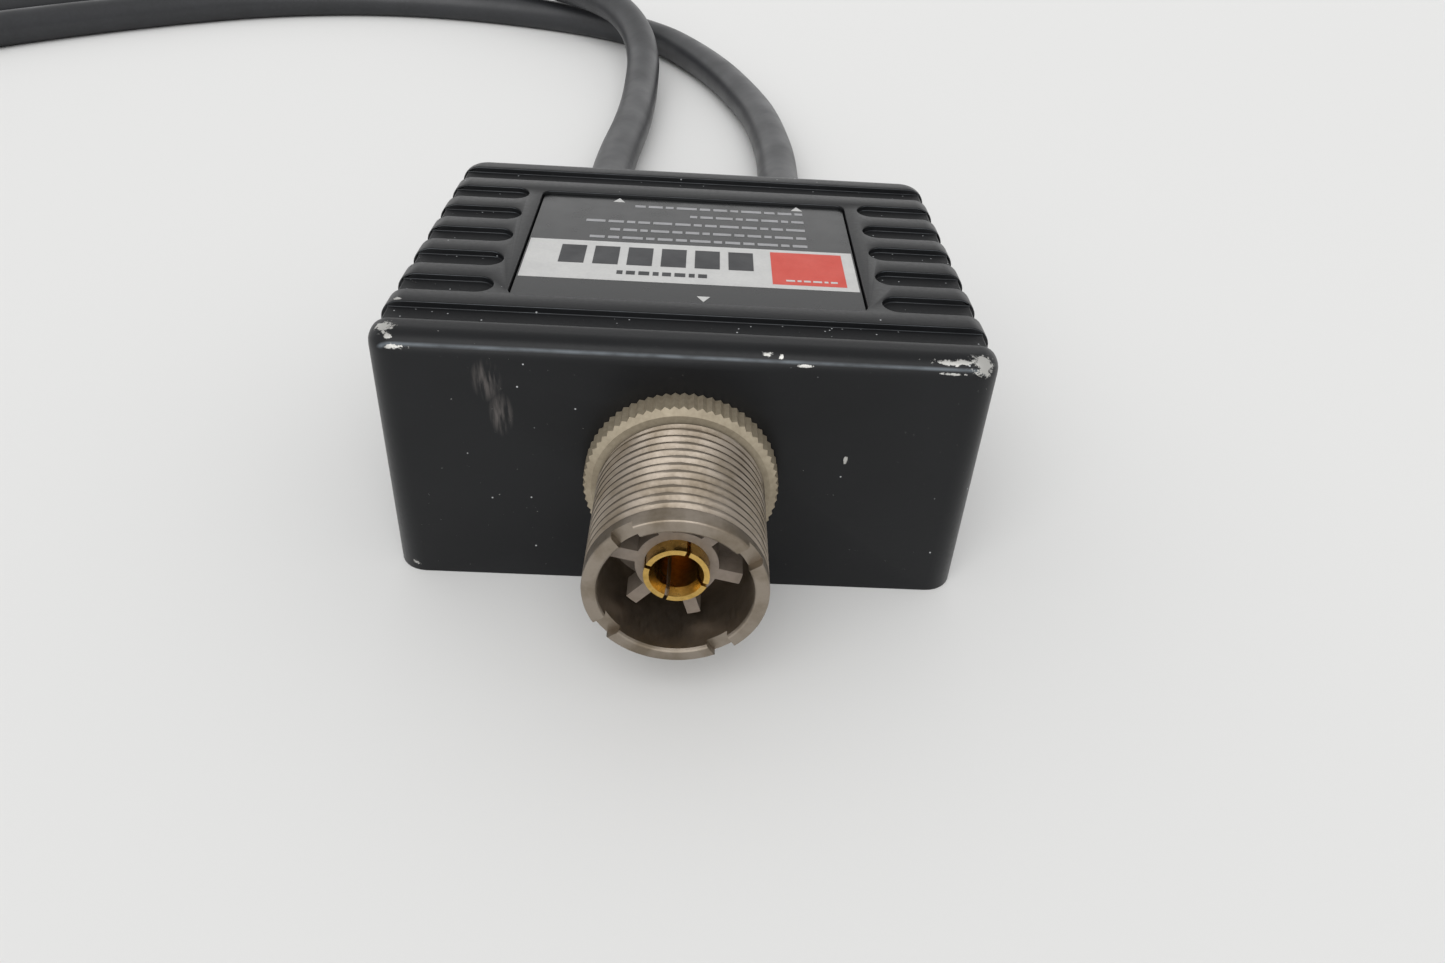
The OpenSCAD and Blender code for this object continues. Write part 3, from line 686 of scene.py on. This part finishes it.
def paint_room(settings):
    """An even pale room with a paler wall behind, which fades above about 25 degrees."""
    world = bpy.data.worlds.new("pale_room")
    world.use_nodes = True
    way = add_node(world, "ShaderNodeTexCoord", out="Generated")
    back = add_node(world, "ShaderNodeSeparateXYZ", {"Vector": way}, "Y")
    up = add_node(world, "ShaderNodeSeparateXYZ", {"Vector": way}, "Z")
    behind = add_node(world, "ShaderNodeMapRange", {"Value": back, "From Max": 0.7})
    low = add_node(
        world,
        "ShaderNodeMapRange",
        {"Value": up, "From Min": 0.38, "From Max": 0.46, "To Min": 1.0, "To Max": 0.1},
    )
    wall = add_node(world, "ShaderNodeMath", {0: behind, 1: low}, operation="MULTIPLY")
    wall = add_node(world, "ShaderNodeMath", {0: wall, 1: settings.wall_light}, operation="MULTIPLY")
    light = add_node(world, "ShaderNodeMath", {0: wall, 1: settings.world_light}, operation="ADD")
    white = (1.0, 1.0, 1.0, 1.0)
    fill(world, world.node_tree.nodes["Background"], {"Color": white, "Strength": light})
    bpy.context.scene.world = world


def place_camera(settings):
    """The camera at the photograph's viewing angle."""
    data = bpy.data.cameras.new("camera")
    data.lens = settings.camera_lens
    data.sensor_width = 36.0
    data.clip_start = 0.005
    camera = bpy.data.objects.new("camera", data)
    turn = (
        Matrix.Rotation(settings.camera_yaw, 4, "Z")
        @ Matrix.Rotation(math.pi / 2 + settings.camera_pitch, 4, "X")
        @ Matrix.Rotation(settings.camera_roll, 4, "Z")
    )
    camera.matrix_world = Matrix.Translation(Vector(settings.camera_place)) @ turn
    bpy.context.scene.collection.objects.link(camera)
    bpy.context.scene.camera = camera


class DUPLEXER_OT_stage(bpy.types.Operator):
    """Adds the floor, the soft light and the camera"""

    bl_idname = "duplexer.stage"
    bl_label = "Stage"

    def execute(self, context):
        settings = context.scene.duplexer_stage
        lay_floor(settings)
        hang_window(settings)
        paint_room(settings)
        place_camera(settings)
        context.scene.view_settings.view_transform = "Standard"
        return {"FINISHED"}


# A cable falls at most this many times as steeply as the gentler stretch beside a point
STEEPEST = 3


def route_slopes(points):
    """The direction of the route at each point: square to the wall at both ends, and held from
    dipping between two points, so that the cable stays on the floor."""
    slopes = []
    for i, point in enumerate(points):
        before = points[max(i - 1, 0)]
        after = points[min(i + 1, len(points) - 1)]
        slope = (after - before) / 2
        falls = (point.z - before.z, after.z - point.z)
        if falls[0] * falls[1] <= 0:
            slope.z = 0.0
        else:
            steepest = STEEPEST * min(abs(fall) for fall in falls)
            slope.z = max(-steepest, min(steepest, slope.z))
        slopes.append(slope)
    slopes[0] = Vector((0.0, (points[1] - points[0]).length, 0.0))
    slopes[-1] = Vector((0.0, -(points[-1] - points[-2]).length, 0.0))
    return slopes


class DUPLEXER_OT_cables(bpy.types.Operator):
    """Lays the two coaxial cables along their routes"""

    bl_idname = "duplexer.cables"
    bl_label = "Cables"

    def execute(self, context):
        settings = context.scene.duplexer_cables
        for band, route in (("low", LOW_ROUTE), ("high", HIGH_ROUTE)):
            points = [Vector(p) * MM for p in route]
            slopes = route_slopes(points)
            data = bpy.data.curves.new(band + "_cable_jacket", "CURVE")
            data.dimensions = "3D"
            data.resolution_u = 10
            data.bevel_depth = settings.diameter / 2
            data.bevel_resolution = settings.sides
            data.use_fill_caps = True
            spline = data.splines.new("BEZIER")
            spline.bezier_points.add(len(points) - 1)
            for knot, point, slope in zip(spline.bezier_points, points, slopes):
                knot.handle_left_type = knot.handle_right_type = "FREE"
                knot.co = point
                knot.handle_left = point - slope / 3
                knot.handle_right = point + slope / 3
            cable = bpy.data.objects.new(band + "_cable_jacket", data)
            context.scene.collection.objects.link(cable)
            context.view_layer.update()
            cable.data.materials.append(finish("jacket"))
            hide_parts(band + "_cable")
            seat(cable, BODY)
        return {"FINISHED"}


class DUPLEXER_OT_housing(bpy.types.Operator):
    """Rounds the cast edges of the housing"""

    bl_idname = "duplexer.housing"
    bl_label = "Housing"

    def execute(self, context):
        settings = context.scene.duplexer_housing
        shell = merged_copy("housing", "cast_shell")
        apply_modifier(
            shell,
            "BEVEL",
            width=settings.edge_round,
            segments=3,
            limit_method="ANGLE",
            angle_limit=math.radians(30),
            use_clamp_overlap=True,
        )
        smooth(shell, 40.0)
        give_finish(shell, "enamel")
        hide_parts("housing")
        seat(shell, BODY)
        return {"FINISHED"}


def slab(name, centre, size, finish_name):
    """A thin flat piece of ink, centred at a place, of a size in metres."""
    deselect()
    bpy.ops.mesh.primitive_cube_add(size=1.0, location=centre, scale=size)
    piece = bpy.context.object
    piece.name = name
    settle(piece)
    give_finish(piece, finish_name)
    return piece


def join(pieces, name):
    """Several pieces made one object."""
    pick(pieces[0])
    for piece in pieces[1:]:
        piece.select_set(True)
    bpy.ops.object.join()
    joined = bpy.context.object
    joined.name = name
    joined.data.name = name
    return joined


# The label's fields: name, left, right, front and back in millimetres, ink, and layer of print
FIELDS = (
    ("silver_band", -17.1, 17.1, -8.85, 0.35, "silver_ink", 1),
    ("red_block", 8.35, 15.9, -8.0, -0.35, "red_ink", 2),
)
# Its rows of dashes: name, left end, right end, front, height and gap in millimetres, the lengths
# that the dashes take in turn from the right, ink, and layer of print
DASH_ROWS = (
    ("thick_bars", -13.9, 6.5, -5.2, 4.3, 0.9, (2.6,), "black_ink", 2),
    ("thin_bars", -8.5, 1.7, -7.4, 0.8, 0.35, (0.9, 0.6, 1.1), "black_ink", 2),
    ("red_row", 9.2, 15.0, -7.3, 0.35, 0.25, (0.7, 0.4, 0.9), "silver_ink", 3),
    ("text_row_1", -12.0, 12.5, 1.3, 0.6, 0.35, (1.6, 0.9, 2.2, 1.2), "grey_ink", 1),
    ("text_row_2", -9.5, 12.5, 3.4, 0.6, 0.35, (1.1, 2.0, 0.8, 1.5), "grey_ink", 1),
    ("text_row_3", -12.0, 12.5, 5.6, 0.6, 0.35, (2.1, 1.3, 0.9, 1.7), "grey_ink", 1),
    ("text_row_4", -1.0, 12.5, 7.9, 0.6, 0.35, (1.4, 0.8, 1.9), "grey_ink", 1),
    ("text_row_5", -8.0, 12.5, 10.2, 0.6, 0.35, (0.9, 1.6, 1.2, 2.3), "grey_ink", 1),
)
# The middles of its three port marks, and the reach of a mark's corners, in millimetres
PORT_MARKS = [(1.4, -11.9), (11.9, 11.9), (-8.6, 11.9)]
PORT_MARK_R = 0.75
# The round of the film's corners, and by how many millimetres a dash may pass its row's left end
FILM_CORNER_R = 0.9 * MM
ROW_END_PLAY = 0.01


def lay_film(ink_t, lap):
    """The printed film with its rounded corners, which covers the plate and a little of the gap."""
    size = LABEL_HIGH - LABEL_LOW
    centre = (LABEL_LOW + LABEL_HIGH) / 2
    deselect()
    bpy.ops.mesh.primitive_plane_add(size=1.0, location=(centre.x, centre.y, LABEL_HIGH.z))
    film = bpy.context.object
    film.name = "printed_film"
    film.scale = (size.x + 2 * lap, size.y + 2 * lap, 1.0)
    settle(film)
    apply_modifier(film, "BEVEL", affect="VERTICES", width=FILM_CORNER_R, segments=6)
    apply_modifier(film, "SOLIDIFY", thickness=ink_t, offset=1.0)
    give_finish(film, "label")
    seat(film, BODY)


def dash_row(top, ink_t, name, left, right, front, height, gap, lengths, ink, layer):
    """One row of plain dashes, laid from its right end for as long as a dash fits."""
    thick = ink_t * layer
    dashes = []
    x = right
    while x - lengths[len(dashes) % len(lengths)] >= left - ROW_END_PLAY:
        length = lengths[len(dashes) % len(lengths)]
        middle = ((x - length / 2) * MM, (front + height / 2) * MM, top + thick / 2)
        dashes.append(slab("dash", middle, (length * MM, height * MM, thick), ink))
        x -= length + gap
    seat(join(dashes, name), BODY)


def port_mark(name, x, y, top, ink_t):
    """One small triangle that points at the nearer end of the box."""
    deselect()
    bpy.ops.mesh.primitive_cylinder_add(
        vertices=3, radius=PORT_MARK_R * MM, depth=ink_t, location=(x * MM, y * MM, top + ink_t / 2)
    )
    mark = bpy.context.object
    mark.name = name
    mark.rotation_euler = (0.0, 0.0, math.pi if y < 0 else 0.0)
    settle(mark)
    give_finish(mark, "silver_ink")
    seat(mark, BODY)


class DUPLEXER_OT_label(bpy.types.Operator):
    """Prints the plate with a silver band, a red block and rows of plain dashes"""

    bl_idname = "duplexer.label"
    bl_label = "Label"

    def execute(self, context):
        settings = context.scene.duplexer_label
        ink_t = settings.ink_t
        lay_film(ink_t, settings.film_lap)
        top = LABEL_HIGH.z + ink_t
        for name, left, right, front, back, ink, layer in FIELDS:
            height = ink_t * layer
            middle = ((left + right) / 2 * MM, (front + back) / 2 * MM, top + height / 2)
            field = slab(name, middle, ((right - left) * MM, (back - front) * MM, height), ink)
            seat(field, BODY)
        for row in DASH_ROWS:
            dash_row(top, ink_t, *row)
        for i, (x, y) in enumerate(PORT_MARKS):
            port_mark("port_mark_%d" % (i + 1), x, y, top, ink_t)
        return {"FINISHED"}


def spun(name, profile, centre, steps):
    """A surface of revolution about the socket's axis: profile is (radius, distance forward) in metres."""
    mesh = bpy.data.meshes.new(name)
    points = [centre + Vector((radius, -forward, 0.0)) for radius, forward in profile]
    edges = [(i, i + 1) for i in range(len(points) - 1)] + [(len(points) - 1, 0)]
    mesh.from_pydata(points, edges, [])
    piece = bpy.data.objects.new(name, mesh)
    bpy.context.scene.collection.objects.link(piece)
    pick(piece)
    bpy.ops.object.mode_set(mode="EDIT")
    bpy.ops.mesh.select_all(action="SELECT")
    bpy.ops.mesh.spin(steps=steps, angle=math.tau, center=centre, axis=(0.0, -1.0, 0.0))
    bpy.ops.mesh.select_all(action="SELECT")
    bpy.ops.mesh.remove_doubles(threshold=0.000001)
    bpy.ops.mesh.normals_make_consistent(inside=False)
    bpy.ops.object.mode_set(mode="OBJECT")
    return piece


# The barrel's sizes, the same as in the part's source: the radii of its tail behind the wall, its
# relieved neck, its bore and its rear bore, and the distances forward of the wall at which the rear
# bore ends and the thread starts
TAIL_R = 5.9 * MM
NECK_R = 7.2 * MM
BORE_R = 6.6 * MM
REAR_BORE_R = 5.05 * MM
REAR_BORE_END = 6.3 * MM
THREAD_START = 2.97 * MM
# The chamfer at the thread's start
THREAD_LEAD = 0.15 * MM
# The rim's notches: their width, their depth, the first one's angle in degrees and their number
NOTCH_W = 2.1 * MM
NOTCH_L = 0.8 * MM
NOTCH_TURN = 35
NOTCHES = 4
# The smooth band behind the rim, the rim's round, and the stretches in which the thread comes up
# to its full depth at each end
SMOOTH_L = 1.3 * MM
RIM_ROUND = 0.25 * MM
FADE_IN = 0.3 * MM
FADE_OUT = 0.5 * MM
# The thread is a wave: the share of half its pitch that lies flat at the root, and the share over
# which it rises to the crest
RISE_FROM = 0.1
RISE_OVER = 0.7
# Points this near to the thread's start or to the neck's radius stay where they are
NEAR = 0.02 * MM
# Rings of points to each turn of the thread
RINGS_PER_THREAD = 10


def barrel_profile(outer, rim, back, pitch):
    """The barrel's outline as (radius, distance forward), with close rings along the thread."""
    end = rim - RIM_ROUND
    profile = [(REAR_BORE_R, back), (TAIL_R, back), (TAIL_R, 0.0), (NECK_R, 0.0), (NECK_R, THREAD_START)]
    profile += [(outer - THREAD_LEAD, THREAD_START), (outer, THREAD_START + THREAD_LEAD)]
    count = int((end - THREAD_START) / (pitch / RINGS_PER_THREAD))
    for i in range(1, count + 1):
        forward = THREAD_START + THREAD_LEAD + (end - THREAD_START - THREAD_LEAD) * i / count
        profile.append((outer, forward))
    for i in range(1, 4):
        turn = math.radians(30 * i)
        profile.append((outer - RIM_ROUND * (1 - math.cos(turn)), end + RIM_ROUND * math.sin(turn)))
    # The rim's inner round has one point between its ends
    profile += [(BORE_R + RIM_ROUND, rim), (BORE_R + 0.1 * MM, rim - 0.08 * MM), (BORE_R, end)]
    profile += [(BORE_R, REAR_BORE_END), (REAR_BORE_R, REAR_BORE_END)]
    return profile


def cut_thread(barrel, centre, outer, rim, pitch, depth):
    """Draws the barrel's outer wall in along a screw line."""
    end = rim - RIM_ROUND
    for vertex in barrel.data.vertices:
        arm = vertex.co - centre
        forward = -arm.y
        radius = math.hypot(arm.x, arm.z)
        if forward < THREAD_START + NEAR or forward > end or radius < NECK_R + NEAR:
            continue
        turn = math.atan2(arm.z, arm.x) / math.tau
        phase = (forward / pitch + turn) % 1.0
        rise = min(max((abs(2 * phase - 1) - RISE_FROM) / RISE_OVER, 0.0), 1.0)
        ridge = 0.5 - 0.5 * math.cos(math.pi * rise)
        fade_in = (forward - THREAD_START) / FADE_IN
        fade_out = max(end - SMOOTH_L - forward, 0.0) / FADE_OUT
        thread = outer - depth * (1 - ridge) * min(fade_in, fade_out, 1.0)
        if radius > thread:
            vertex.co.x = centre.x + arm.x * thread / radius
            vertex.co.z = centre.z + arm.z * thread / radius


def cut_notch(barrel, centre, outer, rim, turn):
    """Cuts one notch across the rim, at an angle round the barrel."""
    deselect()
    bpy.ops.mesh.primitive_cube_add(size=1.0, scale=(3 * MM, 2 * NOTCH_L, NOTCH_W))
    cutter = bpy.context.object
    out = Vector((math.cos(turn), 0.0, math.sin(turn)))
    cutter.location = centre + out * (BORE_R + outer) / 2 + Vector((0.0, -rim, 0.0))
    cutter.rotation_euler = (0.0, -turn, 0.0)
    bpy.context.view_layer.update()
    settle(cutter)
    apply_modifier(barrel, "BOOLEAN", object=cutter, operation="DIFFERENCE", solver="EXACT")
    bpy.data.objects.remove(cutter)


class DUPLEXER_OT_socket(bpy.types.Operator):
    """Cuts the screw thread and the notched rim of the socket's barrel"""

    bl_idname = "duplexer.socket"
    bl_label = "Socket"

    def execute(self, context):
        settings = context.scene.duplexer_socket
        wall_y = HOUSING_LOW.y
        centre = Vector((0.0, wall_y, (SHELL_LOW.z + SHELL_HIGH.z) / 2))
        outer = (SHELL_HIGH.z - SHELL_LOW.z) / 2
        rim = wall_y - SHELL_LOW.y
        back = wall_y - SHELL_HIGH.y
        profile = barrel_profile(outer, rim, back, settings.pitch)
        barrel = spun("threaded_barrel", profile, centre, settings.steps)
        cut_thread(barrel, centre, outer, rim, settings.pitch, settings.thread_depth)
        for i in range(NOTCHES):
            cut_notch(barrel, centre, outer, rim, math.radians(NOTCH_TURN + 360 * i / NOTCHES))
        smooth(barrel, 28.0)
        give_finish(barrel, "nickel")
        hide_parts("port_shell")
        seat(barrel, BODY)
        return {"FINISHED"}


# The finish of each material slot in the part's record
FINISH_OF_SLOT = {
    "housing_paint": "enamel",
    "label_print": "label",
    "cover_steel": "zinc",
    "screw_steel": "zinc",
    "port_nickel": "nickel",
    "ring_nickel": "knurled",
    "insulator_plastic": "insulator",
    "contact_gold": "gold",
    "copper": "copper",
    "board": "board",
    "ceramic": "ceramic",
    "grommet_rubber": "rubber",
    "cable_jacket": "jacket",
    "plug_nickel": "plug_nickel",
    "plug_plastic": "plug_plastic",
}


class DUPLEXER_OT_solids(bpy.types.Operator):
    """Gives every solid its finish"""

    bl_idname = "duplexer.solids"
    bl_label = "Finish the solids"

    def execute(self, context):
        for part in frame["record"]["subparts"]:
            give_finish(frame["nodes"][part["node"]], FINISH_OF_SLOT[part["material_slot"]])
        return {"FINISHED"}


class DUPLEXER_PT_panel(bpy.types.Panel):
    """Lists the steps in the sidebar"""

    bl_idname = "DUPLEXER_PT_panel"
    bl_label = "Antenna duplexer"
    bl_space_type = "VIEW_3D"
    bl_region_type = "UI"
    bl_category = "Duplexer"

    def draw(self, context):
        column = self.layout.column()
        for step in STEPS:
            column.operator(step.bl_idname)


SETTINGS = (
    ("duplexer_stage", StageSettings),
    ("duplexer_cables", CableSettings),
    ("duplexer_housing", HousingSettings),
    ("duplexer_label", LabelSettings),
    ("duplexer_socket", SocketSettings),
)
STEPS = (
    DUPLEXER_OT_stage,
    DUPLEXER_OT_cables,
    DUPLEXER_OT_housing,
    DUPLEXER_OT_label,
    DUPLEXER_OT_socket,
    DUPLEXER_OT_solids,
)


def register():
    for name, group in SETTINGS:
        bpy.utils.register_class(group)
        setattr(bpy.types.Scene, name, PointerProperty(type=group))
    for step in STEPS:
        bpy.utils.register_class(step)
    bpy.utils.register_class(DUPLEXER_PT_panel)


def unregister():
    bpy.utils.unregister_class(DUPLEXER_PT_panel)
    for step in reversed(STEPS):
        bpy.utils.unregister_class(step)
    for name, group in reversed(SETTINGS):
        delattr(bpy.types.Scene, name)
        bpy.utils.unregister_class(group)


def main():
    register()
    bpy.ops.duplexer.stage()
    bpy.ops.duplexer.cables()
    bpy.ops.duplexer.housing()
    bpy.ops.duplexer.label()
    bpy.ops.duplexer.socket()
    bpy.ops.duplexer.solids()


if __name__ == "__main__":
    main()
